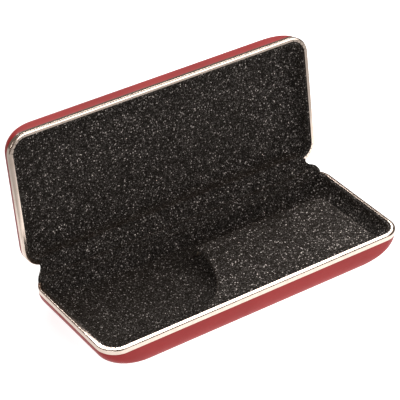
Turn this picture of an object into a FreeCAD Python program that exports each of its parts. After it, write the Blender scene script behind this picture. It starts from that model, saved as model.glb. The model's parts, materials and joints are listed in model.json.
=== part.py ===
"""Hard clamshell eyeglasses case, modelled open.

Two shallow pressed-steel halves, each wrapped in a thin leather-like skin and edged with a
roll-formed metal rim, are lined with flocked fabric on a moulded board. They are joined at the
back by two spring hinges behind a fabric strip, and the lower half holds a stiffened pocket.

Frame: millimetres, +Z up, +X along the length, the front faces -Y. The origin is the centre of
the flat underside. Each half is drawn with its underside at z = 0 and its mouth at HALF_HEIGHT;
the upper half is then mirrored onto the lower one and swung open about the hinge line.
"""
import FreeCAD, Part
import math
import os

# Overall size of one half
LENGTH = 160.0
WIDTH = 64.0
CORNER_RADIUS = 9.5
RIM_HEIGHT = 2.4
DOME_DEPTH = 11.0
HALF_HEIGHT = RIM_HEIGHT + DOME_DEPTH

# How the dome curves in from the rim to the flat underside
END_INSET = 22.0
END_POWER = 2.2
SIDE_INSET = 5.5
SIDE_POWER = 3.2
CORNER_GROWTH = 0.2
DOME_STEPS = 10
DOME_CUT = 0.985

# Rim channel
RIM_FLANGE = 1.9
RIM_THICKNESS = 0.45
RIM_INNER_LEG = 1.9
RIM_CROWN = 0.5
RIM_CROWN_STEPS = 6
NOTCH_ANGLES = (14.0, 29.5, 45.0, 60.5, 76.0)
NOTCH_WIDTH = 0.5
NOTCH_DEPTH = 1.25

# Layers, as distances in from the outer surface
SKIN_OUTSIDE = 0.12
SKIN_THICKNESS = 0.5
SHELL_OUTSIDE = 0.65
SHELL_THICKNESS = 0.45
FOAM_OUTSIDE = 1.15
FOAM_THICKNESS = 0.9
BOARD_OUTSIDE = 2.1
BOARD_THICKNESS = 0.5
LINING_OUTSIDE = 2.65
LINING_THICKNESS = 0.6
LINING_LIP_OUTSIDE = 1.97
LINING_LIP_HEIGHT = 0.45
LINING_DROP = 0.3
LAYER_GAP = 0.05

# How far cutting tools reach past what they cut
CUT_MARGIN = 1.0

# Closed, the two mouths are this far apart, to hold the folded fabric strip
PARTING_GAP = 0.6

# Hinges
OPEN_ANGLE = 100.0
AXIS_BEHIND_RIM = 2.25
AXIS_ABOVE_MOUTH = 1.5
HINGE_X = 50.0
LEAF_HALF_WIDTH = 9.2
LEAF_THICKNESS = 0.45
LEAF_OUTSIDE = 1.3
LEAF_DEPTH = 7.0
LEAF_TOP_DROP = 1.6
LEAF_ROOM = 1.0
TONGUE_LEVEL = 1.0
TONGUE_THICKNESS = 0.5
KNUCKLE_SPLIT = 4.1
KNUCKLE_GAP = 0.1
BARREL_RADIUS = 1.35
PIN_RADIUS = 0.7
PIN_CLEARANCE = 0.05
PIN_HEAD_RADIUS = 1.05
PIN_HEAD_THICKNESS = 0.35
LUG_THICKNESS = 1.0
SPRING_THICKNESS = 0.3
SPRING_HALF_WIDTH = 3.6
SPRING_BARREL_GAP = 0.12
SPRING_FOOT_RISE = 0.6
SPRING_FOOT_HEIGHT = 3.4
SPRING_RAMP_START = 0.2
SPRING_CREST_BEFORE = 0.4
SPRING_CREST_AFTER = 1.0
SPRING_TIP_DROP = 0.3
RIVET_RADIUS = 0.8
RIVET_HEAD_RADIUS = 1.35
RIVET_HEAD_THICKNESS = 0.3
RIVET_X = 6.6
RIVET_DEPTH = 4.6
SLOT_CLEARANCE = 0.15

# Pocket in the lower tray, in the plane of its top
POCKET_TOP = 2.0
POCKET_BOARD = 0.9
POCKET_FABRIC = 0.6
POCKET_RIGHT = 67.0
POCKET_BACK = 13.0
POCKET_FRONT = -28.3
POCKET_CORNER_RADIUS = 6.0
POCKET_SLOPE = 5.0
POCKET_RUNOUT = 20.0
MOUTH_BACK_X = -3.0
MOUTH_FRONT_X = -25.5
MOUTH_SAG = 7.0

# Fabric strip over the hinge
STRIP_HALF_LENGTH = 75.0
STRIP_THICKNESS = 0.25
STRIP_STANDOFF = 0.2
STRIP_SETBACK = 0.3
STRIP_TAIL = 3.0
STRIP_TAIL_HALF_LENGTH = 67.0

UP = FreeCAD.Vector(0, 0, 1)
ALONG = FreeCAD.Vector(1, 0, 0)
BACKWARD = FreeCAD.Vector(0, 1, 0)
AXIS_Y = WIDTH / 2 + AXIS_BEHIND_RIM
AXIS_Z = HALF_HEIGHT + AXIS_ABOVE_MOUTH
FLANGE_UNDERSIDE = HALF_HEIGHT - RIM_THICKNESS


def vec(x, y, z):
    """Short for a FreeCAD vector."""
    return FreeCAD.Vector(x, y, z)


def box(x0, x1, y0, y1, z0, z1):
    """A box between opposite corners."""
    return Part.makeBox(x1 - x0, y1 - y0, z1 - z0, vec(x0, y0, z0))


def outline(inset_x, inset_y, radius, z):
    """The rounded rectangle of the case's plan at height z, drawn in from its full size."""
    half_x = LENGTH / 2 - inset_x
    half_y = WIDTH / 2 - inset_y
    corners = ((1, -1, -90.0), (1, 1, 0.0), (-1, 1, 90.0), (-1, -1, 180.0))
    arcs = []
    for side_x, side_y, start in corners:
        centre = vec(side_x * (half_x - radius), side_y * (half_y - radius), z)
        rays = [math.radians(start + turn) for turn in (0.0, 45.0, 90.0)]
        points = [centre + vec(math.cos(a), math.sin(a), 0) * radius for a in rays]
        arcs.append((Part.Arc(*points).toShape(), points[0], points[2]))
    edges = []
    for (arc, _, end), (_, start, _) in zip(arcs, arcs[1:] + arcs[:1]):
        edges.append(arc)
        edges.append(Part.makeLine(end, start))
    return Part.Wire(edges)


def floor_level(inset):
    """Height of the floor of a layer that lies inset from the outer surface; the skin's is 0."""
    return inset - SKIN_OUTSIDE


def plan_block(inset, z0, z1):
    """A straight-sided block of the plan, between two heights."""
    face = Part.Face(outline(inset, inset, CORNER_RADIUS - inset, z0))
    return face.extrude(UP * (z1 - z0))


def plan_ring(inset_out, inset_in, z0, z1):
    """A straight-sided band that follows the plan, between two insets and two heights."""
    return plan_block(inset_out, z0, z1).cut(plan_block(inset_in, z0, z1))


def curve_in(fraction, power):
    """How far a side has curved in, from 0 at the rim to 1 at the underside."""
    return 1.0 - (1.0 - fraction ** power) ** (1.0 / power)


def dome(inset):
    """The rounded body below the rim, shrunk all round by inset.

    The curve stops just short of level, at DOME_CUT of its depth, where the flat underside takes over.
    """
    wires = []
    top = HALF_HEIGHT - RIM_HEIGHT
    for step in range(DOME_STEPS + 1):
        depth = math.sin(math.pi / 2 * step / DOME_STEPS)
        in_x = END_INSET * curve_in(DOME_CUT * depth, END_POWER)
        in_y = SIDE_INSET * curve_in(DOME_CUT * depth, SIDE_POWER)
        radius = CORNER_RADIUS - inset + CORNER_GROWTH * (in_x + in_y) / 2
        level = top - (top - floor_level(inset)) * depth
        wires.append(outline(inset + in_x, inset + in_y, radius, level))
    return Part.makeLoft(wires, True)


def half_solid(inset, top):
    """A solid half, shrunk all round by inset, and cut level at top."""
    neck = HALF_HEIGHT - RIM_HEIGHT
    if top <= neck:
        return dome(inset).common(box(-LENGTH, LENGTH, -WIDTH, WIDTH, 0, top))
    return dome(inset).fuse(plan_block(inset, neck, top)).removeSplitter()


def layer(inset, thickness, top):
    """One wall of the half: an open tray of the given thickness."""
    return half_solid(inset, top).cut(half_solid(inset + thickness, HALF_HEIGHT + CUT_MARGIN))


def at_hinges(piece):
    """The piece at both hinges, as a list."""
    return [piece.translated(vec(side * HINGE_X, 0, 0)) for side in (-1, 1)]


def cut_all(shape, tools):
    """The shape with every tool cut from it."""
    for tool in tools:
        shape = shape.cut(tool)
    return shape


def strip_profile(points, thickness, x0, x1):
    """A bent strip: a line of (y, z) points given a thickness and extruded along the length."""
    left = []
    right = []
    for index, (y, z) in enumerate(points):
        before = points[max(index - 1, 0)]
        after = points[min(index + 1, len(points) - 1)]
        directions = []
        for a, b in ((before, (y, z)), ((y, z), after)):
            run = math.hypot(b[0] - a[0], b[1] - a[1])
            if run > 0:
                directions.append(((b[0] - a[0]) / run, (b[1] - a[1]) / run))
        tangent_y = sum(d[0] for d in directions)
        tangent_z = sum(d[1] for d in directions)
        size = math.hypot(tangent_y, tangent_z)
        normal = (-tangent_z / size, tangent_y / size)
        stretch = len(directions) / size
        shift_y = normal[0] * thickness / 2 * stretch
        shift_z = normal[1] * thickness / 2 * stretch
        left.append(vec(x0, y + shift_y, z + shift_z))
        right.append(vec(x0, y - shift_y, z - shift_z))
    ring = left + right[::-1]
    face = Part.Face(Part.makePolygon(ring + ring[:1]))
    return face.extrude(ALONG * (x1 - x0))


# ---- the two halves' own layers -------------------------------------------------------------

def rim_notches():
    """Narrow V cuts through the inner leg that let the rim bend round its corners."""
    cuts = []
    inner = CORNER_RADIUS - RIM_FLANGE
    for side_x in (-1, 1):
        for side_y in (-1, 1):
            centre = vec(side_x * (LENGTH / 2 - CORNER_RADIUS), side_y * (WIDTH / 2 - CORNER_RADIUS), 0)
            for angle in NOTCH_ANGLES:
                ray = math.radians(angle)
                out = vec(side_x * math.cos(ray), side_y * math.sin(ray), 0)
                across = vec(-out.y, out.x, 0) * NOTCH_WIDTH
                near = centre + out * (inner - NOTCH_DEPTH)
                apex = centre + out * (inner + NOTCH_DEPTH)
                wedge = Part.Face(Part.makePolygon([near - across, apex, near + across, near - across]))
                cuts.append(wedge.extrude(UP * (2 * HALF_HEIGHT)))
    return Part.makeCompound(cuts)


def tongue_box(x0, x1, clearance):
    """The slot that one hinge tongue needs through the rear wall."""
    middle = HALF_HEIGHT - TONGUE_LEVEL
    reach = TONGUE_THICKNESS / 2 + clearance
    return box(x0 - clearance, x1 + clearance, WIDTH / 2 - BOARD_OUTSIDE, WIDTH / 2 + CUT_MARGIN,
               middle - reach, middle + reach)


def base_slots():
    """Slots for both tongues of each lower leaf and for its spring."""
    tools = []
    for x0, x1 in ((-LEAF_HALF_WIDTH, -KNUCKLE_SPLIT), (KNUCKLE_SPLIT, LEAF_HALF_WIDTH),
                   (-SPRING_HALF_WIDTH, SPRING_HALF_WIDTH)):
        tools += at_hinges(tongue_box(x0, x1, SLOT_CLEARANCE))
    return tools


def lid_slots():
    """A slot for the one tongue of each upper leaf."""
    reach = KNUCKLE_SPLIT - KNUCKLE_GAP
    return at_hinges(tongue_box(-reach, reach, SLOT_CLEARANCE))


def crowned_block():
    """The rim's blank: the plan, with a top that rounds down by RIM_CROWN from the flange's inside."""
    bottom = HALF_HEIGHT - RIM_HEIGHT
    wires = []
    for step in range(RIM_CROWN_STEPS + 1):
        turn = math.pi / 2 * step / RIM_CROWN_STEPS
        inset = RIM_FLANGE * (1 - math.cos(turn))
        level = HALF_HEIGHT - RIM_CROWN * (1 - math.sin(turn))
        wires.append(outline(inset, inset, CORNER_RADIUS - inset, level))
    crown = Part.makeLoft(wires, True)
    return plan_block(0, bottom, HALF_HEIGHT - RIM_CROWN).fuse(crown).removeSplitter()


def rim(slots):
    """The metal channel that grips the edge of a half."""
    body = crowned_block().cut(plan_block(RIM_FLANGE, 0, HALF_HEIGHT + CUT_MARGIN))
    inner_leg = RIM_FLANGE - RIM_THICKNESS
    body = body.cut(plan_ring(RIM_THICKNESS, inner_leg, 0, FLANGE_UNDERSIDE))
    body = body.cut(plan_ring(inner_leg, RIM_FLANGE, 0, HALF_HEIGHT - RIM_INNER_LEG))
    body = body.cut(rim_notches())
    room = LEAF_HALF_WIDTH + LEAF_ROOM
    relief = box(-room, room, WIDTH / 2 - RIM_FLANGE - CUT_MARGIN, WIDTH / 2 - RIM_THICKNESS,
                 0, FLANGE_UNDERSIDE)
    return cut_all(body, at_hinges(relief) + slots)


def rivet_places():
    """Where one leaf's two rivets are along it."""
    return [side * RIVET_X for side in (-1, 1)]


def rear_hole(x, radius):
    """A round hole through the rear wall, where a hinge rivet goes."""
    start = vec(x, WIDTH / 2 - BOARD_OUTSIDE - CUT_MARGIN, HALF_HEIGHT - RIVET_DEPTH)
    return Part.makeCylinder(radius, BOARD_OUTSIDE + 2 * CUT_MARGIN, start, BACKWARD)


def shell(slots):
    """The pressed-steel half."""
    body = layer(SHELL_OUTSIDE, SHELL_THICKNESS, FLANGE_UNDERSIDE - LAYER_GAP)
    holes = []
    for x in rivet_places():
        holes += at_hinges(rear_hole(x, RIVET_RADIUS))
    return cut_all(body, slots + holes)


def skin():
    """The leather-like wrapping, which ends under the rim's lower edge."""
    return layer(SKIN_OUTSIDE, SKIN_THICKNESS, HALF_HEIGHT - RIM_HEIGHT - LAYER_GAP)


def foam():
    """A thin sheet on the floor of the steel half, under the lining board."""
    room = half_solid(BOARD_OUTSIDE, HALF_HEIGHT - RIM_HEIGHT)
    floor = floor_level(FOAM_OUTSIDE)
    slab = box(-LENGTH, LENGTH, -WIDTH, WIDTH, floor, floor + FOAM_THICKNESS)
    return room.translated(UP * (FOAM_OUTSIDE - BOARD_OUTSIDE)).common(slab)


def lining_board():
    """The moulded board tray that carries the lining, cut away behind the hinges."""
    top = HALF_HEIGHT - LINING_DROP - LINING_LIP_HEIGHT - LAYER_GAP
    body = layer(BOARD_OUTSIDE, BOARD_THICKNESS, top)
    room = LEAF_HALF_WIDTH + LEAF_ROOM
    window = box(-room, room, WIDTH / 2 - LINING_OUTSIDE, WIDTH / 2,
                 HALF_HEIGHT - LEAF_DEPTH - LEAF_ROOM, HALF_HEIGHT)
    return cut_all(body, at_hinges(window))


def lining():
    """The flocked lining: a thin tray with a lip turned out over the board's edge."""
    top = HALF_HEIGHT - LINING_DROP
    body = layer(LINING_OUTSIDE, LINING_THICKNESS, top)
    lip = plan_ring(LINING_LIP_OUTSIDE, LINING_OUTSIDE + LINING_THICKNESS / 2, top - LINING_LIP_HEIGHT, top)
    return body.fuse(lip).removeSplitter()


# ---- hinges ---------------------------------------------------------------------------------

def barrel(x0, x1, axis_z, bore):
    """A knuckle round the hinge axis, and the tool that bores it."""
    start = vec(x0, AXIS_Y, axis_z)
    ring = Part.makeCylinder(BARREL_RADIUS, x1 - x0, start, ALONG)
    hole = Part.makeCylinder(bore, x1 - x0 + 2 * CUT_MARGIN, start - ALONG * CUT_MARGIN, ALONG)
    return ring, hole


def leaf(knuckles, axis_z, bore):
    """A hinge leaf: a plate on the rear wall whose tongues end in knuckles on the axis."""
    back = WIDTH / 2 - LEAF_OUTSIDE
    plate_top = HALF_HEIGHT - LEAF_TOP_DROP
    body = box(-LEAF_HALF_WIDTH, LEAF_HALF_WIDTH, back - LEAF_THICKNESS, back,
               HALF_HEIGHT - LEAF_DEPTH, plate_top)
    middle = HALF_HEIGHT - TONGUE_LEVEL
    low = middle - TONGUE_THICKNESS / 2
    high = middle + TONGUE_THICKNESS / 2
    bores = []
    for x0, x1 in knuckles:
        riser = box(x0, x1, back - LEAF_THICKNESS, back, plate_top, high)
        tongue = box(x0, x1, back - LEAF_THICKNESS, AXIS_Y, low, high)
        ring, hole = barrel(x0, x1, axis_z, bore)
        body = body.fuse([riser, tongue, ring])
        if axis_z > high:
            web = box(x0, x1, AXIS_Y - LUG_THICKNESS / 2, AXIS_Y + LUG_THICKNESS / 2, low, axis_z)
            body = body.fuse(web)
        bores.append(hole)
    bores += [rear_hole(x, RIVET_RADIUS) for x in rivet_places()]
    return cut_all(body, bores).removeSplitter()


def base_leaf():
    """The lower leaf: two outer knuckles that hold the pin tight."""
    knuckles = ((-LEAF_HALF_WIDTH, -KNUCKLE_SPLIT), (KNUCKLE_SPLIT, LEAF_HALF_WIDTH))
    return leaf(knuckles, AXIS_Z, PIN_RADIUS)


def lid_leaf():
    """The upper leaf, drawn on an unmirrored half: one middle knuckle that turns on the pin."""
    reach = KNUCKLE_SPLIT - KNUCKLE_GAP
    mirrored_axis = HALF_HEIGHT - (AXIS_ABOVE_MOUTH - PARTING_GAP)
    return leaf(((-reach, reach),), mirrored_axis, PIN_RADIUS + PIN_CLEARANCE)


def hinge_pin():
    """The pin, with a small head at each end."""
    start = vec(-LEAF_HALF_WIDTH, AXIS_Y, AXIS_Z)
    body = Part.makeCylinder(PIN_RADIUS, 2 * LEAF_HALF_WIDTH, start, ALONG)
    heads = []
    for x in (-LEAF_HALF_WIDTH - PIN_HEAD_THICKNESS, LEAF_HALF_WIDTH):
        heads.append(Part.makeCylinder(PIN_HEAD_RADIUS, PIN_HEAD_THICKNESS, vec(x, AXIS_Y, AXIS_Z), ALONG))
    return body.fuse(heads)


def snap_spring():
    """A leaf spring, riveted in the lower half, whose tip bears on the upper knuckle."""
    back = WIDTH / 2 - LEAF_OUTSIDE - LEAF_THICKNESS - LAYER_GAP - SPRING_THICKNESS / 2
    level = HALF_HEIGHT - TONGUE_LEVEL
    under_barrel = AXIS_Z - BARREL_RADIUS - SPRING_BARREL_GAP - SPRING_THICKNESS / 2
    foot_z = HALF_HEIGHT - LEAF_DEPTH + SPRING_FOOT_RISE
    path = [(back, foot_z), (back, level), (WIDTH / 2 + SPRING_RAMP_START, level),
            (AXIS_Y - SPRING_CREST_BEFORE, under_barrel),
            (AXIS_Y + SPRING_CREST_AFTER, under_barrel - SPRING_TIP_DROP)]
    body = strip_profile(path, SPRING_THICKNESS, -SPRING_HALF_WIDTH, SPRING_HALF_WIDTH)
    foot = box(-LEAF_HALF_WIDTH, LEAF_HALF_WIDTH, back - SPRING_THICKNESS / 2, back + SPRING_THICKNESS / 2,
               foot_z, foot_z + SPRING_FOOT_HEIGHT)
    return cut_all(body.fuse(foot), [rear_hole(x, RIVET_RADIUS) for x in rivet_places()]).removeSplitter()


def rivets(stack):
    """The two rivets of one leaf; stack is how far in from the outside their heads sit."""
    pair = []
    z = HALF_HEIGHT - RIVET_DEPTH
    head_face = WIDTH / 2 - stack
    for x in rivet_places():
        shank = Part.makeCylinder(RIVET_RADIUS, stack - SHELL_OUTSIDE, vec(x, head_face, z), BACKWARD)
        head = Part.makeCylinder(RIVET_HEAD_RADIUS, RIVET_HEAD_THICKNESS,
                                 vec(x, head_face - RIVET_HEAD_THICKNESS, z), BACKWARD)
        pair.append(shank.fuse(head))
    return Part.makeCompound(pair)


# ---- pocket ---------------------------------------------------------------------------------

def pocket_block(inset, top):
    """The pocket's outer form, shrunk by inset: flat on top, sloping to the floor on two sides."""
    floor = floor_level(LINING_OUTSIDE + LINING_THICKNESS + LAYER_GAP)
    wires = []
    for z, spread in ((floor, POCKET_SLOPE), (top, 0.0)):
        right = POCKET_RIGHT - inset + spread
        back = POCKET_BACK - inset + spread
        front = POCKET_FRONT + inset
        radius = POCKET_CORNER_RADIUS - inset + spread / 2
        centre = vec(right - radius, back - radius, z)
        diagonal = centre + vec(1, 1, 0).normalize() * radius
        left = MOUTH_FRONT_X - POCKET_RUNOUT
        front_left = vec(left, front, z)
        front_right = vec(right, front, z)
        corner_start = vec(right, back - radius, z)
        corner_end = vec(right - radius, back, z)
        back_left = vec(left, back, z)
        wires.append(Part.Wire([
            Part.makeLine(front_left, front_right),
            Part.makeLine(front_right, corner_start),
            Part.Arc(corner_start, diagonal, corner_end).toShape(),
            Part.makeLine(corner_end, back_left),
            Part.makeLine(back_left, front_left)]))
    return Part.makeLoft(wires, True, True)


def mouth_cutter():
    """Everything left of the pocket's hollowed mouth."""
    back = vec(MOUTH_BACK_X, POCKET_BACK, 0)
    front = vec(MOUTH_FRONT_X, POCKET_FRONT, 0)
    chord = front - back
    bulge = vec(-chord.y, chord.x, 0).normalize() * MOUTH_SAG
    middle = (back + front) * 0.5 + bulge
    edges = [Part.Arc(back, middle, front).toShape()]
    beyond = POCKET_FRONT - POCKET_RUNOUT
    corners = [front, vec(front.x, beyond, 0), vec(-LENGTH, beyond, 0), vec(-LENGTH, WIDTH, 0),
               vec(back.x, WIDTH, 0), back]
    for start, end in zip(corners, corners[1:]):
        edges.append(Part.makeLine(start, end))
    return Part.Face(Part.Wire(edges)).extrude(UP * HALF_HEIGHT)


def tray_space():
    """The room inside the lower lining."""
    return half_solid(LINING_OUTSIDE + LINING_THICKNESS + LAYER_GAP, HALF_HEIGHT)


def pocket_layer(inset, thickness):
    """One wall of the pocket, open to the front wall, the floor and the hollowed mouth."""
    top = HALF_HEIGHT - POCKET_TOP - inset
    outer = pocket_block(inset, top)
    inner = pocket_block(inset + thickness, top - thickness)
    inner = inner.fuse(inner.translated(BACKWARD * (-WIDTH / 2)))
    inner = inner.fuse(inner.translated(UP * -CUT_MARGIN))
    return outer.cut(inner).common(tray_space()).cut(mouth_cutter())


def pocket_cover():
    """The flocked fabric over the pocket."""
    return pocket_layer(0.0, POCKET_FABRIC)


def pocket_board():
    """The board that stiffens the pocket."""
    return pocket_layer(POCKET_FABRIC + LAYER_GAP, POCKET_BOARD)


# ---- assembly -------------------------------------------------------------------------------

def as_lid(shape):
    """Mirror a half onto the lower one, then swing it open about the hinge line."""
    closed = shape.mirror(vec(0, 0, HALF_HEIGHT + PARTING_GAP / 2), UP)
    return closed.rotated(vec(0, AXIS_Y, AXIS_Z), ALONG, -OPEN_ANGLE)


def opened(y, z):
    """Where a point of the closed upper half lies once it is swung open."""
    turn = math.radians(OPEN_ANGLE)
    dy = y - AXIS_Y
    dz = z - AXIS_Z
    return (AXIS_Y + dy * math.cos(turn) + dz * math.sin(turn),
            AXIS_Z - dy * math.sin(turn) + dz * math.cos(turn))


def hinge_strip():
    """The fabric strip from inside the lower half, over both rims, to inside the upper half."""
    wall = WIDTH / 2 - LINING_OUTSIDE - LINING_THICKNESS - STRIP_STANDOFF
    flange_in = WIDTH / 2 - RIM_FLANGE
    flange_out = WIDTH / 2 - STRIP_SETBACK
    level = HALF_HEIGHT + STRIP_STANDOFF
    lap = [(flange_in, level), (flange_out, level)]
    tail = [(wall, HALF_HEIGHT - STRIP_TAIL), (wall, level - STRIP_STANDOFF), (flange_in, level),
            (flange_in + STRIP_THICKNESS, level)]
    flipped = 2 * HALF_HEIGHT + PARTING_GAP
    lid_lap = [opened(y, flipped - z) for y, z in lap]
    lid_tail = [opened(y, flipped - z) for y, z in tail]
    body = strip_profile(lap + lid_lap[::-1], STRIP_THICKNESS, -STRIP_HALF_LENGTH, STRIP_HALF_LENGTH)
    tails = [strip_profile(path, STRIP_THICKNESS, -STRIP_TAIL_HALF_LENGTH, STRIP_TAIL_HALF_LENGTH)
             for path in (tail, lid_tail)]
    return body.fuse(tails).removeSplitter()


def save(name, shape):
    """Write one sub-part's STEP file."""
    if isinstance(shape, Part.Compound) and len(shape.Solids) == 1:
        shape = shape.Solids[0]
    shape.exportStep("parts/" + name + ".step")
    print(name, "valid", shape.isValid(), "solids", len(shape.Solids), "volume", round(shape.Volume, 1))


def main():
    """Make and save every sub-part."""
    os.makedirs("parts", exist_ok=True)
    metal = {"shell": shell, "rim": rim}
    for piece, make in metal.items():
        save("base_" + piece, make(base_slots()))
        save("lid_" + piece, as_lid(make(lid_slots())))
    soft = {"cover": skin, "foam_sheet": foam, "lining_board": lining_board, "lining": lining}
    for piece, make in soft.items():
        shape = make()
        save("base_" + piece, shape)
        save("lid_" + piece, as_lid(shape))
    save("pocket_board", pocket_board())
    save("pocket_cover", pocket_cover())
    spring_stack = LEAF_OUTSIDE + LEAF_THICKNESS + LAYER_GAP + SPRING_THICKNESS
    leaf_stack = LEAF_OUTSIDE + LEAF_THICKNESS
    hinge = {"base_hinge_leaf": base_leaf(), "hinge_pin": hinge_pin(), "snap_spring": snap_spring(),
             "base_rivets": rivets(spring_stack), "lid_hinge_leaf": as_lid(lid_leaf()),
             "lid_rivets": as_lid(rivets(leaf_stack))}
    for piece, shape in hinge.items():
        for side, copy in zip(("left", "right"), at_hinges(shape)):
            save(side + "_" + piece, copy)
    save("hinge_strip", hinge_strip())


main()
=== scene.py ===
"""Looks of the hard clamshell eyeglasses case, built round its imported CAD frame.

Metres, in the row frame: +X along the length, the front faces -Y, +Z up. Each half is drawn as the
lower one, in millimetres, and the upper half's pieces are then mirrored and swung open about the
hinge line.
"""
import json
import math

import bpy
import numpy as np
from mathutils import Matrix, Vector


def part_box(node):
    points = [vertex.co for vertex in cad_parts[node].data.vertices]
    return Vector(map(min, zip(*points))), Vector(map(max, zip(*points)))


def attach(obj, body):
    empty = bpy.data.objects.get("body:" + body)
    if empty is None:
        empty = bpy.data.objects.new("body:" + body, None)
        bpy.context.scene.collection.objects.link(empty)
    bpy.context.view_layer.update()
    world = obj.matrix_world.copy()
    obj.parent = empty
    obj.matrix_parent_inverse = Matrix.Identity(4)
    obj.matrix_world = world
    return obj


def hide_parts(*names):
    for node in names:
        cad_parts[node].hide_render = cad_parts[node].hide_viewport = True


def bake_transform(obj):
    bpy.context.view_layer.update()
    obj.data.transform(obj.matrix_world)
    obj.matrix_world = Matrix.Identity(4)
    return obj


MM = 0.001

# One half's form, in millimetres: how far its ends and sides curve in towards the underside, how
# squarely they do it, and the share of that curve that is used
END_INSET = 22.0
END_POWER = 2.2
SIDE_INSET = 5.5
SIDE_POWER = 3.2
CURVE_END = 0.985
# Its corners seen from above, and how much they grow for each millimetre that the sides curve in
CORNER_RADIUS = 9.5
CORNER_GROWTH = 0.2
RIM_HEIGHT = 2.4
# The gap between the closed halves
PARTING_GAP = 0.6

# How far in from the outer surface each soft layer starts, and how thick it is
SKIN_INSET = 0.12
SKIN_THICKNESS = 0.5
FOAM_INSET = 2.1
LINING_INSET = 2.65
LINING_THICKNESS = 0.6
LINING_FACE = LINING_INSET + LINING_THICKNESS

# The wrapping's edge, rolled over under the rim: further in, and how far below the rim
SKIN_EDGE = ((0.0, 0.3), (0.06, 0.13), (0.2, 0.05), (0.4, 0.06))

# The foam sheet's section: how far in from its edge, and how far up from its underside
FOAM_BOTTOM = 1.15
FOAM_SECTION = ((6.0, 0.05), (0.6, 0.02), (0.15, 0.2), (0.05, 0.45), (0.2, 0.7), (0.7, 0.86), (6.0, 0.88))

# The lining's lip: its top below the mouth, the straight wall below that, the radius and turns of its roll
LIP_DROP = 0.3
LIP_WALL = 0.9
LIP_ROLL = 0.62
LIP_TURNS = (20, 40, 60, 80)
LIP_INSET = 2.0
# Beyond the roll: how far in, and how far below the lip's top
LIP_BACK = ((LIP_INSET + 0.2, 0.02), (LIP_INSET, 0.15), (LIP_INSET, 0.4), (LINING_INSET, 0.45))

# Pocket, in millimetres: how far its top lies below the mouth of the half, the edges of that top and
# their corner, the slope round it, and its board and fabric
POCKET_TOP = 2.0
POCKET_RIGHT = 67.0
POCKET_BACK = 13.0
POCKET_FRONT = -28.6
POCKET_RADIUS = 6.0
POCKET_SLOPE = 5.0
POCKET_BOARD = 0.95
POCKET_FABRIC = 0.5
# The fabric's slope: how wide it is, how far inside the top it starts, and the share rounded at each end
POCKET_TOE = POCKET_SLOPE + 0.6
SHOULDER_START = 0.1
SHOULDER_EASE = 0.12
# The fabric's unevenness on top: its height, its length, and how far down it reaches
PUCKER_HEIGHT = 0.12
PUCKER_LENGTH = 16.0
PUCKER_REACH = 1.0

# The pocket's mouth: its two ends, how far it is hollowed, how far its fabric stands out and turns
# under, and the radius of its roll round the board
MOUTH_BACK_X = -3.0
MOUTH_FRONT_X = -25.5
MOUTH_SAG = 7.0
MOUTH_OVERHANG = 0.4
MOUTH_TURN_UNDER = 10.0
MOUTH_SLACK = 0.15
MOUTH_ROLL = (POCKET_BOARD + POCKET_FABRIC + MOUTH_SLACK) / 2
# On the slope behind, the roll deepens by this share of itself, over this share of the slope
MOUTH_ROLL_DEEPER = 0.8
MOUTH_DEEPENS_BY = 0.25

# Fabric strip over the hinge: how far round the lower corners it runs, in degrees, its half length on
# the upper half, in millimetres, and how much less of both its tails have
STRIP_WRAP = 54.0
STRIP_WRAP_LESS = 10.0
STRIP_UPPER_HALF = 73.5
STRIP_UPPER_LESS = 6.5
# Its thickness, its height over the rim, its inset at the corners, and where it starts to bend
STRIP_THICKNESS = 0.22
STRIP_ABOVE_RIM = 0.2
STRIP_CORNER_INSET = 0.35
STRIP_BEND_INSET = 0.5
# The swelling at each end of the strip: its height, its form, and the share of the run where it starts
STRIP_BULGE = 2.2
STRIP_BULGE_POWER = 1.4
STRIP_BULGE_START = 0.9
# Where the strip's line passes from the lower half to the upper, as shares of its length
STRIP_CROSSING = (0.40, 0.62)
# Where its tails start to narrow and end, in millimetres from the middle of its line
STRIP_TAIL = (3.4, 5.4)

# How finely the meshes are divided
ARC_STEPS = 14
SIDE_STEPS = (28, 12)
FLOOR_STEPS = 9
WRAPPING_STEPS = (22, 12)
LINING_STEPS = (16, 10)
MOUTH_ROWS = 64
SLOPE_ROWS = 16
POCKET_COLUMNS = 110
ROLL_STEPS = 8
STRIP_ROWS = 46
STRIP_COLUMNS = 161
CURVE_STEPS = 12

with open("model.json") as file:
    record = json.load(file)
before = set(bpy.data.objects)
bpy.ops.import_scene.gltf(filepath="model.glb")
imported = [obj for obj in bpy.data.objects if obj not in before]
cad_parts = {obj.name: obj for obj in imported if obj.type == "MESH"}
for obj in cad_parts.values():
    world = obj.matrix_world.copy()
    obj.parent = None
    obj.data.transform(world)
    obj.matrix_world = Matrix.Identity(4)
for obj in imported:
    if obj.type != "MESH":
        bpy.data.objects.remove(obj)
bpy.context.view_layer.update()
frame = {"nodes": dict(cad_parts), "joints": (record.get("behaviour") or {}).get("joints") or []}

rim_low, rim_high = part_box("base_rim")
HALF_LENGTH = rim_high.x / MM
HALF_WIDTH = -rim_low.y / MM
MOUTH = rim_high.z / MM
hinge = frame["joints"][0]
AXIS = Vector(hinge["pos_m"])
OPEN_ANGLE = math.radians(hinge["range_deg"][1])


# ---- placing and meshing --------------------------------------------------------------------

def to_lid(points):
    """Points of a lower-half piece, mirrored and swung to where the open upper half has them."""
    out = np.array(points, float)
    out[:, 2] = (2 * MOUTH + PARTING_GAP) * MM - out[:, 2]
    turn = np.array(Matrix.Rotation(-OPEN_ANGLE, 3, "X"))
    axis = np.array(AXIS)
    return (out - axis) @ turn.T + axis


def place(points, body):
    """Millimetre points of a lower-half piece, in metres, on the half that the body names."""
    points = np.array(points) * MM
    return to_lid(points) if body == "lid" else points


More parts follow.
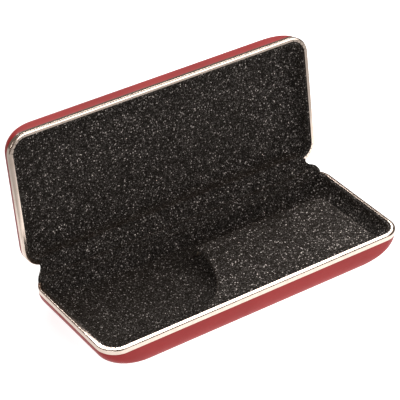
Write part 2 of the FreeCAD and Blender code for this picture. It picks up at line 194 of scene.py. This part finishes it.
def make_object(name, points, faces, material, body):
    """A smooth mesh piece from points in metres; it rides on the body, where one is named."""
    mesh = bpy.data.meshes.new(name)
    mesh.from_pydata([tuple(p) for p in points], [], faces)
    mesh.validate()
    mesh.update()
    for polygon in mesh.polygons:
        polygon.use_smooth = True
    piece = bpy.data.objects.new(name, mesh)
    bpy.context.scene.collection.objects.link(piece)
    piece.data.materials.append(material)
    if body:
        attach(piece, body)
    return piece


def thicken(piece, thickness):
    """Gives a single-layer piece its thickness in millimetres, half to each side."""
    thick = piece.modifiers.new("thickness", "SOLIDIFY")
    thick.thickness = thickness * MM
    thick.offset = 0.0


def ring_faces(count, size, flip):
    """Quads between consecutive closed rings, with one polygon over each end."""
    faces = []
    for ring in range(count - 1):
        for i in range(size):
            j = (i + 1) % size
            a, b = ring * size + i, ring * size + j
            faces.append((a, b, b + size, a + size))
    faces.append(tuple(range(size))[::-1])
    faces.append(tuple(range((count - 1) * size, count * size)))
    return [face[::-1] for face in faces] if flip else faces


def grid_faces(rows, columns, flip=False):
    """Quads of an open grid stored row by row."""
    faces = []
    for r in range(rows - 1):
        for c in range(columns - 1):
            a = r * columns + c
            faces.append((a, a + 1, a + columns + 1, a + columns))
    return [face[::-1] for face in faces] if flip else faces


def within_unit(value):
    """The value, kept from 0 to 1."""
    return min(max(value, 0.0), 1.0)


def outline(half_x, half_y, radius, z):
    """A rounded rectangle of points at height z, in millimetres, counter-clockwise from the right side."""
    smallest = 0.05
    radius = max(min(radius, half_x - smallest, half_y - smallest), smallest)
    corners = ((1, 1), (-1, 1), (-1, -1), (1, -1))

    def on_corner(index, degrees):
        """The point of a corner's arc at an angle, with the corners counted round from the right rear."""
        side_x, side_y = corners[index % 4]
        centre = np.array((side_x * (half_x - radius), side_y * (half_y - radius)))
        a = math.radians(degrees)
        return centre + radius * np.array((math.cos(a), math.sin(a)))

    points = []
    for index in range(4):
        start = 90 * index
        points += [on_corner(index, start + 90 * step / ARC_STEPS) for step in range(ARC_STEPS + 1)]
        here = points[-1]
        ahead = on_corner(index + 1, start + 90)
        steps = SIDE_STEPS[index % 2]
        points += [here + (ahead - here) * k / steps for k in range(1, steps)]
    return np.column_stack((np.array(points), np.full(len(points), z)))


def curve_in(fraction, power):
    """How far a side has curved in, from 0 at the rim to 1 at the underside."""
    return 1.0 - (1.0 - fraction ** power) ** (1.0 / power)


def wall_ring(inset, depth):
    """The outline of a layer's wall, where depth goes from 0 under the rim to 1 at the floor."""
    neck = MOUTH - RIM_HEIGHT
    floor = inset - SKIN_INSET
    in_x = END_INSET * curve_in(CURVE_END * depth, END_POWER)
    in_y = SIDE_INSET * curve_in(CURVE_END * depth, SIDE_POWER)
    radius = CORNER_RADIUS - inset + CORNER_GROWTH * (in_x + in_y) / 2
    z = neck - (neck - floor) * depth
    return outline(HALF_LENGTH - inset - in_x, HALF_WIDTH - inset - in_y, radius, z)


def neck_ring(inset, z):
    """The outline of a layer's straight wall above the dome."""
    return outline(HALF_LENGTH - inset, HALF_WIDTH - inset, CORNER_RADIUS - inset, z)


def floor_rings(inset):
    """Rings that close a layer's flat floor, from its edge in towards the middle."""
    edge = wall_ring(inset, 1.0)
    half_x, half_y = edge[:, 0].max(), edge[:, 1].max()
    middle_radius = 0.5
    rings = []
    for step in range(1, FLOOR_STEPS):
        shrink = half_y * step / FLOOR_STEPS
        radius = CORNER_RADIUS * (1 - step / FLOOR_STEPS) + middle_radius
        rings.append(outline(half_x - shrink, half_y - shrink, radius, edge[0, 2]))
    return rings


def wall_rings(inset, steps):
    """A layer's wall from under the rim to the floor, with its rings closer together lower down."""
    return [wall_ring(inset, math.sin(math.pi / 2 * step / steps)) for step in range(steps + 1)]


def waves(points, length, seed):
    """A smooth repeatable field from -1 to 1 over points, with waves about length long."""
    source = np.random.default_rng(seed)
    count = 7
    total = np.zeros(len(points))
    for _ in range(count):
        way = source.normal(size=3)
        way /= np.linalg.norm(way)
        pace = 2 * math.pi / (length * source.uniform(0.7, 1.6))
        total += np.sin(points @ way * pace + source.uniform(0, 2 * math.pi))
    return total / count


# ---- materials: node helpers ----------------------------------------------------------------

def new_material(name):
    """An empty node material with its node tree and a Principled shader on its output."""
    material = bpy.data.materials.new(name)
    material.use_nodes = True
    tree = material.node_tree
    tree.nodes.clear()
    output = tree.nodes.new("ShaderNodeOutputMaterial")
    shader = tree.nodes.new("ShaderNodeBsdfPrincipled")
    tree.links.new(shader.outputs["BSDF"], output.inputs["Surface"])
    return material, tree, shader


def coordinates(tree, stretch=(1.0, 1.0, 1.0)):
    """The piece's own coordinates, in metres, optionally stretched."""
    texture = tree.nodes.new("ShaderNodeTexCoord")
    mapping = tree.nodes.new("ShaderNodeMapping")
    mapping.inputs["Scale"].default_value = stretch
    tree.links.new(texture.outputs["Object"], mapping.inputs["Vector"])
    return mapping.outputs["Vector"]


def noise(tree, vector, size_mm, detail=2.0, roughness=0.5):
    """A noise texture whose features are about size_mm across."""
    node = tree.nodes.new("ShaderNodeTexNoise")
    node.inputs["Scale"].default_value = 1 / MM / size_mm
    node.inputs["Detail"].default_value = detail
    node.inputs["Roughness"].default_value = roughness
    tree.links.new(vector, node.inputs["Vector"])
    return node.outputs["Fac"]


def cells(tree, vector, size_mm, feature="F1"):
    """A cell texture whose cells are about size_mm across."""
    node = tree.nodes.new("ShaderNodeTexVoronoi")
    node.feature = feature
    node.inputs["Scale"].default_value = 1 / MM / size_mm
    tree.links.new(vector, node.inputs["Vector"])
    return node


def remap(tree, value, low, high, to_low, to_high, smooth=False):
    """The value moved from one range to another, and kept inside it."""
    node = tree.nodes.new("ShaderNodeMapRange")
    node.interpolation_type = "SMOOTHSTEP" if smooth else "LINEAR"
    for name, number in (("From Min", low), ("From Max", high), ("To Min", to_low), ("To Max", to_high)):
        node.inputs[name].default_value = number
    tree.links.new(value, node.inputs["Value"])
    return node.outputs["Result"]


def maths(tree, kind, a, b):
    """Two values combined; each is a socket or a number."""
    node = tree.nodes.new("ShaderNodeMath")
    node.operation = kind
    for slot, value in zip(node.inputs, (a, b)):
        if isinstance(value, (int, float)):
            slot.default_value = value
        else:
            tree.links.new(value, slot)
    return node.outputs["Value"]


def mix(tree, factor, a, b):
    """Two colours mixed by factor; each is a socket or a colour."""
    node = tree.nodes.new("ShaderNodeMix")
    node.data_type = "RGBA"
    tree.links.new(factor, node.inputs["Factor"])
    for name, value in (("A", a), ("B", b)):
        slot = next(s for s in node.inputs if s.name == name and s.type == "RGBA")
        if isinstance(value, tuple):
            slot.default_value = (*value, 1.0)
        else:
            tree.links.new(value, slot)
    return next(s for s in node.outputs if s.type == "RGBA")


def bump(tree, shader, height, strength, depth_mm):
    """Lets a height bend the shader's normal, as relief about depth_mm deep."""
    node = tree.nodes.new("ShaderNodeBump")
    node.inputs["Strength"].default_value = strength
    node.inputs["Distance"].default_value = depth_mm * MM
    tree.links.new(height, node.inputs["Height"])
    tree.links.new(node.outputs["Normal"], shader.inputs["Normal"])


# ---- materials ------------------------------------------------------------------------------

# The flock's three sizes of tuft, their bright flecks painted glints: size in millimetres, how rare the
# bright ones are, how bright they get
FINE_TUFTS = (0.52, 3.0, 0.060)
BRIGHT_TUFTS = (0.36, 9.0, 0.30)
GLINTS = (0.46, 30.0, 1.35)
FLOCK_BASE = 0.0035
FLOCK_DEEP = (0.0012, 0.0006, 0.0)
FLOCK_TIP = (1.0, 0.90, 0.84)
FLOCK_SHEEN = (1.0, 0.74, 0.52, 1.0)

SKIN_DARK = (0.262, 0.0088, 0.0086)
SKIN_LIGHT = (0.300, 0.0130, 0.0124)
SKIN_GRAIN = (0.216, 0.0068, 0.0066)


def flock_material(name, lift, sparkle=1.0):
    """Black flock whose fibre tips catch the light unevenly, as glints painted into its colour; lift scales
    them all, sparkle the glints.
    """
    material, tree, shader = new_material(name)
    vector = coordinates(tree)
    tone = remap(tree, noise(tree, vector, 9.0, 3.0), 0.3, 0.7, 0.85, 1.15)
    light = FLOCK_BASE
    glints = (*GLINTS[:2], GLINTS[2] * sparkle)
    for size, rarity, bright in (FINE_TUFTS, BRIGHT_TUFTS, glints):
        tufts = cells(tree, vector, size)
        split = tree.nodes.new("ShaderNodeSeparateColor")
        tree.links.new(tufts.outputs["Color"], split.inputs["Color"])
        chance = maths(tree, "POWER", split.outputs["Red"], rarity)
        middle = remap(tree, tufts.outputs["Distance"], 0.3, 0.62, 1.0, 0.35, True)
        share = maths(tree, "MULTIPLY", maths(tree, "MULTIPLY", chance, middle), bright * lift)
        light = maths(tree, "ADD", share, light)
    light = maths(tree, "MULTIPLY", light, tone)
    # The tufts' painted glints go into the base colour here
    colour = mix(tree, maths(tree, "MINIMUM", light, 1.0), FLOCK_DEEP, FLOCK_TIP)
    tree.links.new(colour, shader.inputs["Base Color"])
    shader.inputs["Roughness"].default_value = 0.9
    shader.inputs["Specular IOR Level"].default_value = 0.1
    shader.inputs["Sheen Weight"].default_value = 0.06
    shader.inputs["Sheen Roughness"].default_value = 0.5
    shader.inputs["Sheen Tint"].default_value = FLOCK_SHEEN
    pile = maths(tree, "ADD", noise(tree, vector, 0.35, 3.0, 0.7), noise(tree, vector, 2.4, 2.0))
    bump(tree, shader, pile, 0.8, 0.25)
    return material


def skin_material():
    """Smooth satin red leather-like wrapping with a very fine grain."""
    material, tree, shader = new_material("red_skin")
    vector = coordinates(tree)
    tone = remap(tree, noise(tree, vector, 14.0, 4.0), 0.35, 0.65, 0.0, 1.0)
    colour = mix(tree, tone, SKIN_DARK, SKIN_LIGHT)
    grain = cells(tree, vector, 0.55, "SMOOTH_F1").outputs["Distance"]
    colour = mix(tree, remap(tree, grain, 0.1, 0.6, 0.0, 0.22), colour, SKIN_GRAIN)
    tree.links.new(colour, shader.inputs["Base Color"])
    wear = remap(tree, noise(tree, vector, 3.0, 4.0), 0.3, 0.7, 0.36, 0.47)
    tree.links.new(wear, shader.inputs["Roughness"])
    shader.inputs["Specular IOR Level"].default_value = 0.24
    height = maths(tree, "ADD", maths(tree, "MULTIPLY", grain, 0.6), noise(tree, vector, 0.25, 2.0))
    bump(tree, shader, height, 0.12, 0.05)
    return material


def metal_material(name, colour, worn, roughness, stretch, depth_mm):
    """Metal with fine marks drawn out along one direction, duller where worn."""
    material, tree, shader = new_material(name)
    marks = noise(tree, coordinates(tree, stretch), 0.5, 4.0, 0.6)
    spots = noise(tree, coordinates(tree), 4.0, 4.0)
    colour = mix(tree, remap(tree, spots, 0.45, 0.75, 0.0, 1.0), colour, worn)
    tree.links.new(colour, shader.inputs["Base Color"])
    shader.inputs["Metallic"].default_value = 1.0
    rough = remap(tree, maths(tree, "MULTIPLY", marks, spots), 0.1, 0.45, *roughness)
    tree.links.new(rough, shader.inputs["Roughness"])
    bump(tree, shader, marks, 0.1, depth_mm)
    return material


def board_material():
    """Grey-brown moulded board with paper fibres."""
    material, tree, shader = new_material("board")
    vector = coordinates(tree)
    fibres = noise(tree, coordinates(tree, (1.0, 0.2, 1.0)), 0.4, 4.0, 0.65)
    tone = maths(tree, "MULTIPLY", fibres, noise(tree, vector, 5.0, 3.0))
    colour = mix(tree, remap(tree, tone, 0.1, 0.4, 0.0, 1.0), (0.20, 0.16, 0.12), (0.36, 0.30, 0.23))
    tree.links.new(colour, shader.inputs["Base Color"])
    shader.inputs["Roughness"].default_value = 0.85
    bump(tree, shader, fibres, 0.4, 0.06)
    return material


def foam_material():
    """Pale open-cell foam."""
    material, tree, shader = new_material("foam")
    vector = coordinates(tree)
    pores = cells(tree, vector, 0.45).outputs["Distance"]
    colour = mix(tree, remap(tree, pores, 0.1, 0.6, 0.0, 1.0), (0.42, 0.40, 0.35), (0.74, 0.72, 0.66))
    tree.links.new(colour, shader.inputs["Base Color"])
    shader.inputs["Roughness"].default_value = 0.95
    bump(tree, shader, pores, 0.8, 0.15)
    return material


flock = flock_material("flock", 0.75)
# The pocket's copy of the flock, with brighter flecks and stronger glints: painted highlight for the light
# on the pocket's top
pocket_flock_painted_light = flock_material("pocket_flock_painted_light", 0.77, 1.6)
skin = skin_material()
rim_metal = metal_material("rim_metal", (0.66, 0.55, 0.475), (0.58, 0.475, 0.40), (0.10, 0.18),
                           (0.15, 0.15, 2.0), 0.001)
shell_steel = metal_material("shell_steel", (0.52, 0.53, 0.54), (0.38, 0.38, 0.38), (0.28, 0.5),
                             (0.2, 1.0, 1.0), 0.02)
hinge_steel = metal_material("hinge_steel", (0.60, 0.60, 0.59), (0.42, 0.41, 0.38), (0.2, 0.4),
                             (0.3, 1.0, 1.0), 0.015)
spring_steel = metal_material("spring_steel", (0.26, 0.28, 0.33), (0.16, 0.17, 0.22), (0.18, 0.34),
                              (0.3, 1.0, 1.0), 0.01)
board = board_material()
foam = foam_material()

by_ending = {"_shell": shell_steel, "_rim": rim_metal, "_board": board, "_leaf": hinge_steel,
             "_pin": hinge_steel, "_rivets": hinge_steel, "_spring": spring_steel}
for node, piece in frame["nodes"].items():
    for ending, material in by_ending.items():
        if node.endswith(ending):
            piece.data.materials.clear()
            piece.data.materials.append(material)


# ---- the wrapping, the foam and the lining of both halves ------------------------------------

def layered_piece(name, rings, material, body):
    """A closed piece from rings of a lower half, on the half that the body names."""
    points = place(np.concatenate(rings), body)
    faces = ring_faces(len(rings), len(rings[0]), body == "base")
    return make_object(name, points, faces, material, body)


def cover_rings():
    """The wrapping: its underside, its curved sides, its rolled top edge, then back down inside."""
    outer_steps, inner_steps = WRAPPING_STEPS
    top = MOUTH - RIM_HEIGHT
    outer = floor_rings(SKIN_INSET)[::-1] + wall_rings(SKIN_INSET, outer_steps)[:0:-1]
    edge = [neck_ring(SKIN_INSET + inward, top - below) for inward, below in SKIN_EDGE]
    inner_inset = SKIN_INSET + SKIN_THICKNESS
    inner = wall_rings(inner_inset, inner_steps)[1:] + floor_rings(inner_inset)
    return outer + edge + inner


def foam_rings():
    """The foam sheet: a thin slab with soft edges."""
    edge = wall_ring(FOAM_INSET, 1.0)
    half_x, half_y = edge[:, 0].max(), edge[:, 1].max()
    bottom = FOAM_BOTTOM - SKIN_INSET
    return [outline(half_x - shrink, half_y - shrink, CORNER_RADIUS - shrink, bottom + rise)
            for shrink, rise in FOAM_SECTION]


def lining_rings():
    """The flocked lining: its floor, wall and rolled lip, then back down behind the board side."""
    face_steps, back_steps = LINING_STEPS
    top = MOUTH - LIP_DROP
    face = floor_rings(LINING_FACE)[::-1] + wall_rings(LINING_FACE, face_steps)[::-1]
    face.append(neck_ring(LINING_FACE, top - LIP_WALL))
    lip = []
    for turn in LIP_TURNS:
        a = math.radians(turn)
        lip.append(neck_ring(LINING_FACE - LIP_ROLL * (1 - math.cos(a)), top - LIP_ROLL * (1 - math.sin(a))))
    lip += [neck_ring(inset, top - below) for inset, below in LIP_BACK]
    back = wall_rings(LINING_INSET, back_steps)[1:] + floor_rings(LINING_INSET)
    return face + lip + back


for body in ("base", "lid"):
    cover = layered_piece(body + "_wrapping", cover_rings(), skin, body)
    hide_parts(body + "_cover")
    pad = layered_piece(body + "_foam_pad", foam_rings(), foam, body)
    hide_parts(body + "_foam_sheet")
    cloth = layered_piece(body + "_flock_lining", lining_rings(), flock, body)
    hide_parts(body + "_lining")


# ---- the pocket -----------------------------------------------------------------------------

def mouth_point(share):
    """A point on the pocket's hollowed mouth, from 0 at the front to 1 at the back, and its way out."""
    back = np.array((MOUTH_BACK_X, POCKET_BACK))
    front = np.array((MOUTH_FRONT_X, POCKET_FRONT))
    chord = back - front
    length = np.linalg.norm(chord)
    along = chord / length
    inward = np.array((along[1], -along[0]))
    radius = (length ** 2 / 4 + MOUTH_SAG ** 2) / (2 * MOUTH_SAG)
    centre = (back + front) / 2 + inward * (MOUTH_SAG - radius)
    half_turn = math.asin(length / 2 / radius)
    a = half_turn * (2 * share - 1)
    ray = inward * math.cos(a) + along * math.sin(a)
    return centre + radius * ray, -ray


def soft_ramp(share, ease):
    """A straight ramp from 0 to 1 with a short rounding at each end."""
    if share < ease:
        return share * share / (2 * ease * (1 - ease))
    if share > 1 - ease:
        return 1 - soft_ramp(1 - share, ease)
    return (share - ease / 2) / (1 - ease)


def pocket_drop(x, y):
    """How far the pocket's surface lies below its top, by distance outside its rounded top."""
    dx = max(x - (POCKET_RIGHT - POCKET_RADIUS), 0.0)
    dy = max(y - (POCKET_BACK - POCKET_RADIUS), 0.0)
    outside = math.hypot(dx, dy) - POCKET_RADIUS
    return soft_ramp(within_unit((outside + SHOULDER_START) / POCKET_TOE), SHOULDER_EASE)


def pocket_piece():
    """The pocket's fabric: turned under at the mouth, flat on top, soft at its shoulders and toe."""
    floor = LINING_FACE - SKIN_INSET
    top = MOUTH - POCKET_TOP - POCKET_FABRIC / 2
    height = top - floor - POCKET_FABRIC
    points = []
    for row in range(MOUTH_ROWS + SLOPE_ROWS + 1):
        edge, out = mouth_point(min(row / MOUTH_ROWS, 1.0))
        down = max(row - MOUTH_ROWS, 0) / SLOPE_ROWS
        edge = edge + MOUTH_OVERHANG * out + np.array((0.0, POCKET_TOE * down))
        deep = MOUTH_ROLL * (1 + MOUTH_ROLL_DEEPER * min(down / MOUTH_DEEPENS_BY, 1.0))
        turned = MOUTH_TURN_UNDER * (1 - down)
        edge_top = top - height * pocket_drop(0.0, edge[1])
        line = []
        for step in range(ROLL_STEPS):
            here = edge - out * turned * (1 - step / ROLL_STEPS)
            line.append((*here, edge_top - 2 * deep))
        for step in range(ROLL_STEPS + 1):
            a = math.pi * (1 - step / ROLL_STEPS)
            line.append((*(edge + out * MOUTH_ROLL * math.sin(a)), edge_top - deep + deep * math.cos(a)))
        for column in range(1, POCKET_COLUMNS + 1):
            x = edge[0] + (POCKET_RIGHT + POCKET_TOE - edge[0]) * column / POCKET_COLUMNS
            line.append((x, edge[1], top - height * pocket_drop(x, edge[1])))
        points += line
    points = np.array(points)
    points[:, 1] = np.maximum(points[:, 1], POCKET_FRONT)
    points[:, 2] = np.maximum(points[:, 2], floor + POCKET_FABRIC / 2)
    on_top = points[:, 2] > MOUTH - POCKET_TOP - PUCKER_REACH
    points[:, 2] += PUCKER_HEIGHT * waves(points, PUCKER_LENGTH, 3) * on_top
    return points, MOUTH_ROWS + SLOPE_ROWS + 1, len(line)


points, rows, columns = pocket_piece()
# The pocket fabric takes the flock copy with the painted highlight
pocket = make_object("pocket_fabric", points * MM, grid_faces(rows, columns), pocket_flock_painted_light, "base")
thicken(pocket, POCKET_FABRIC)
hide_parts("pocket_cover")


# ---- the fabric strip over the hinge ---------------------------------------------------------

def strip_line():
    """The strip's line across the hinge, as (y, z): lower wall, lower rim, gap, upper rim, upper wall."""
    wall = HALF_WIDTH - LINING_FACE - 0.25
    over_rim = MOUTH + STRIP_ABOVE_RIM
    lower = [(wall, MOUTH - 3.2), (wall - 0.02, MOUTH - 1.6), (wall + 0.1, MOUTH - 0.5),
             (wall + 0.5, MOUTH + 0.02), (HALF_WIDTH - 1.9, over_rim), (HALF_WIDTH - 1.0, over_rim),
             (HALF_WIDTH - 0.35, over_rim)]
    flat = np.array([(0.0, y, z) for y, z in lower]) * MM
    upper = to_lid(flat)[::-1] / MM
    return np.concatenate((flat[:, 1:] / MM, upper[:, 1:]))


def smooth_line(points, count):
    """Points evenly spaced along a Catmull-Rom curve through the given ones."""
    padded = np.vstack((2 * points[0] - points[1], points, 2 * points[-1] - points[-2]))
    fine = []
    for i in range(1, len(padded) - 2):
        for t in np.linspace(0, 1, CURVE_STEPS, endpoint=False):
            a, b, c, d = padded[i - 1:i + 3]
            fine.append(0.5 * (2 * b + (c - a) * t + (2 * a - 5 * b + 4 * c - d) * t ** 2
                               + (3 * b - a - 3 * c + d) * t ** 3))
    fine = np.array(fine + [points[-1]])
    run = np.concatenate(([0], np.cumsum(np.linalg.norm(np.diff(fine, axis=0), axis=1))))
    even = np.linspace(0, run[-1], count)
    return np.column_stack([np.interp(even, run, fine[:, k]) for k in range(2)])


def strip_piece():
    """The strip as a grid: it runs round the lower half's rear corners, and ends short on the upper."""
    line = smooth_line(strip_line(), STRIP_ROWS)
    centre = line[STRIP_ROWS // 2]
    straight = HALF_LENGTH - CORNER_RADIUS
    crossing_start, crossing_end = STRIP_CROSSING
    tail_start, tail_end = STRIP_TAIL
    points = []
    for index, (y, z) in enumerate(line):
        share_up = index / (STRIP_ROWS - 1)
        upper = within_unit((share_up - crossing_start) / (crossing_end - crossing_start))
        upper = upper * upper * (3 - 2 * upper)
        from_centre = math.hypot(y - centre[0], z - centre[1])
        tail = within_unit((from_centre - tail_start) / (tail_end - tail_start))
        radius = CORNER_RADIUS - max(HALF_WIDTH - y, STRIP_CORNER_INSET)
        reach = straight + radius * math.radians(STRIP_WRAP - STRIP_WRAP_LESS * tail)
        for share in np.linspace(-1, 1, STRIP_COLUMNS):
            run = abs(share) * reach
            past = max(run - straight, 0.0) / radius
            lower_x = min(run, straight) + radius * math.sin(past)
            lower_y = y - radius * (1 - math.cos(past))
            upper_x = abs(share) * (STRIP_UPPER_HALF - STRIP_UPPER_LESS * tail)
            end = within_unit((abs(share) - STRIP_BULGE_START) / (1 - STRIP_BULGE_START))
            bulge = STRIP_BULGE * math.sin(math.pi * end ** STRIP_BULGE_POWER) * (1 - tail) * (1 - upper)
            x = lower_x + (upper_x - lower_x) * upper
            points.append((math.copysign(x, share), lower_y + (y - lower_y) * upper, z + bulge))
    return np.array(points)


strip_faces = grid_faces(STRIP_ROWS, STRIP_COLUMNS, True)
strip = make_object("hinge_fabric", strip_piece() * MM, strip_faces, flock, None)
thicken(strip, STRIP_THICKNESS)
low_edge = Vector((0, (HALF_WIDTH - STRIP_BEND_INSET) * MM, (MOUTH + STRIP_ABOVE_RIM) * MM))
high_edge = Vector(to_lid(np.array([low_edge]))[0])
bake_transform(strip)
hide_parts("hinge_strip")


# ---- floor, light and camera ----------------------------------------------------------------

# The camera's turn to the right of +Y, and its tilt down
YAW = math.radians(34.72)
PITCH = math.radians(34.63)

# The painted pool of light on the floor, where its glow is brightest, turned to face the camera: its centre
# and half sizes, in metres
POOL_CENTRE = (0.052, 0.075, 0.0)
POOL_REACH = (0.128, 0.185, 1.0)
# How square the patch is: 2 is an ellipse, and more has fuller corners
POOL_SQUARENESS = 4.0
# The patch's painted glow on its left and its right, brighter on the right, and between which shares of its
# half width the glow rises
GLOW_LEFT = 0.82
GLOW_RIGHT = 1.35
GLOW_RISE = (-0.62, 0.0)
# The share of the glow that is left far outside, and how many half sizes out that is
GLOW_FAR = 0.12
GLOW_END = 1.45

FLOOR_HALF = 1.6
FLOOR_BELOW = 0.0002


def floor_material():
    """A pale plain finish with a painted glow: emission, brighter on its right, that falls away outside a
    patch round the case.
    """
    material, tree, shader = new_material("floor")
    vector = coordinates(tree)
    tone = remap(tree, noise(tree, vector, 60.0, 3.0), 0.3, 0.7, 0.0, 1.0)
    tree.links.new(mix(tree, tone, (0.36, 0.36, 0.36), (0.39, 0.39, 0.39)), shader.inputs["Base Color"])
    shader.inputs["Roughness"].default_value = 0.7
    shader.inputs["Emission Color"].default_value = (1.0, 1.0, 1.0, 1.0)
    turned = tree.nodes.new("ShaderNodeMapping")
    turned.vector_type = "TEXTURE"
    turned.inputs["Location"].default_value = POOL_CENTRE
    turned.inputs["Rotation"].default_value = (0.0, 0.0, -YAW)
    turned.inputs["Scale"].default_value = POOL_REACH
    tree.links.new(vector, turned.inputs["Vector"])
    across = tree.nodes.new("ShaderNodeSeparateXYZ")
    tree.links.new(turned.outputs["Vector"], across.inputs["Vector"])
    sides = [maths(tree, "POWER", maths(tree, "ABSOLUTE", across.outputs[axis], 0.0), POOL_SQUARENESS)
             for axis in ("X", "Y")]
    away = maths(tree, "POWER", maths(tree, "ADD", *sides), 1 / POOL_SQUARENESS)
    # Painted light: the floor's emission strength, brighter to the right and fading outside the patch
    glow = remap(tree, across.outputs["X"], *GLOW_RISE, GLOW_LEFT, GLOW_RIGHT, True)
    inside = remap(tree, away, 1.0, GLOW_END, 1.0, GLOW_FAR, True)
    tree.links.new(maths(tree, "MULTIPLY", glow, inside), shader.inputs["Emission Strength"])
    return material


def floor_object():
    """A plain floor just under the case."""
    mesh = bpy.data.meshes.new("floor")
    corners = [(x * FLOOR_HALF, y * FLOOR_HALF, 0) for x, y in ((-1, -1), (1, -1), (1, 1), (-1, 1))]
    mesh.from_pydata(corners, [], [(0, 1, 2, 3)])
    plane = bpy.data.objects.new("floor", mesh)
    plane.location.z = -FLOOR_BELOW
    plane.data.materials.append(floor_material())
    bpy.context.scene.collection.objects.link(plane)


def soft_light(name, position, target, size, power):
    """A rectangular area light of the given size and power, aimed at the target."""
    lamp = bpy.data.lights.new(name, "AREA")
    lamp.shape = "RECTANGLE"
    lamp.size, lamp.size_y = size
    lamp.energy = power
    holder = bpy.data.objects.new(name, lamp)
    holder.location = position
    holder.rotation_euler = (Vector(target) - Vector(position)).to_track_quat("-Z", "Y").to_euler()
    bpy.context.scene.collection.objects.link(holder)


def studio_world():
    """A dim, warm surrounding."""
    world = bpy.data.worlds.new("studio")
    world.use_nodes = True
    background = world.node_tree.nodes["Background"]
    background.inputs["Color"].default_value = (1.0, 0.86, 0.76, 1.0)
    background.inputs["Strength"].default_value = 0.18
    bpy.context.scene.world = world


def make_camera():
    """A long lens in front of the case, to its left and above it."""
    lens = bpy.data.cameras.new("camera")
    lens.sensor_width = 36.0
    lens.lens = 173.1
    lens.clip_start = 0.01
    lens.clip_end = 20.0
    camera = bpy.data.objects.new("camera", lens)
    camera.location = (-0.4034, -0.5662, 0.5231)
    camera.rotation_euler = (math.pi / 2 - PITCH, 0.0, -YAW)
    bpy.context.scene.collection.objects.link(camera)
    bpy.context.scene.camera = camera


floor_object()
soft_light("overhead", (0.35, 0.72, 0.95), (0.0, 0.0, 0.0), (1.1, 0.8), 20.0)
soft_light("left_front", (-1.0, -0.7, 0.9), (0.0, 0.0, 0.03), (0.6, 0.6), 7.5)
soft_light("right_front", (0.65, -1.15, 0.45), (0.0, -0.1, 0.0), (1.1, 0.7), 6.4)
studio_world()
make_camera()
bpy.context.scene.view_settings.view_transform = "Standard"
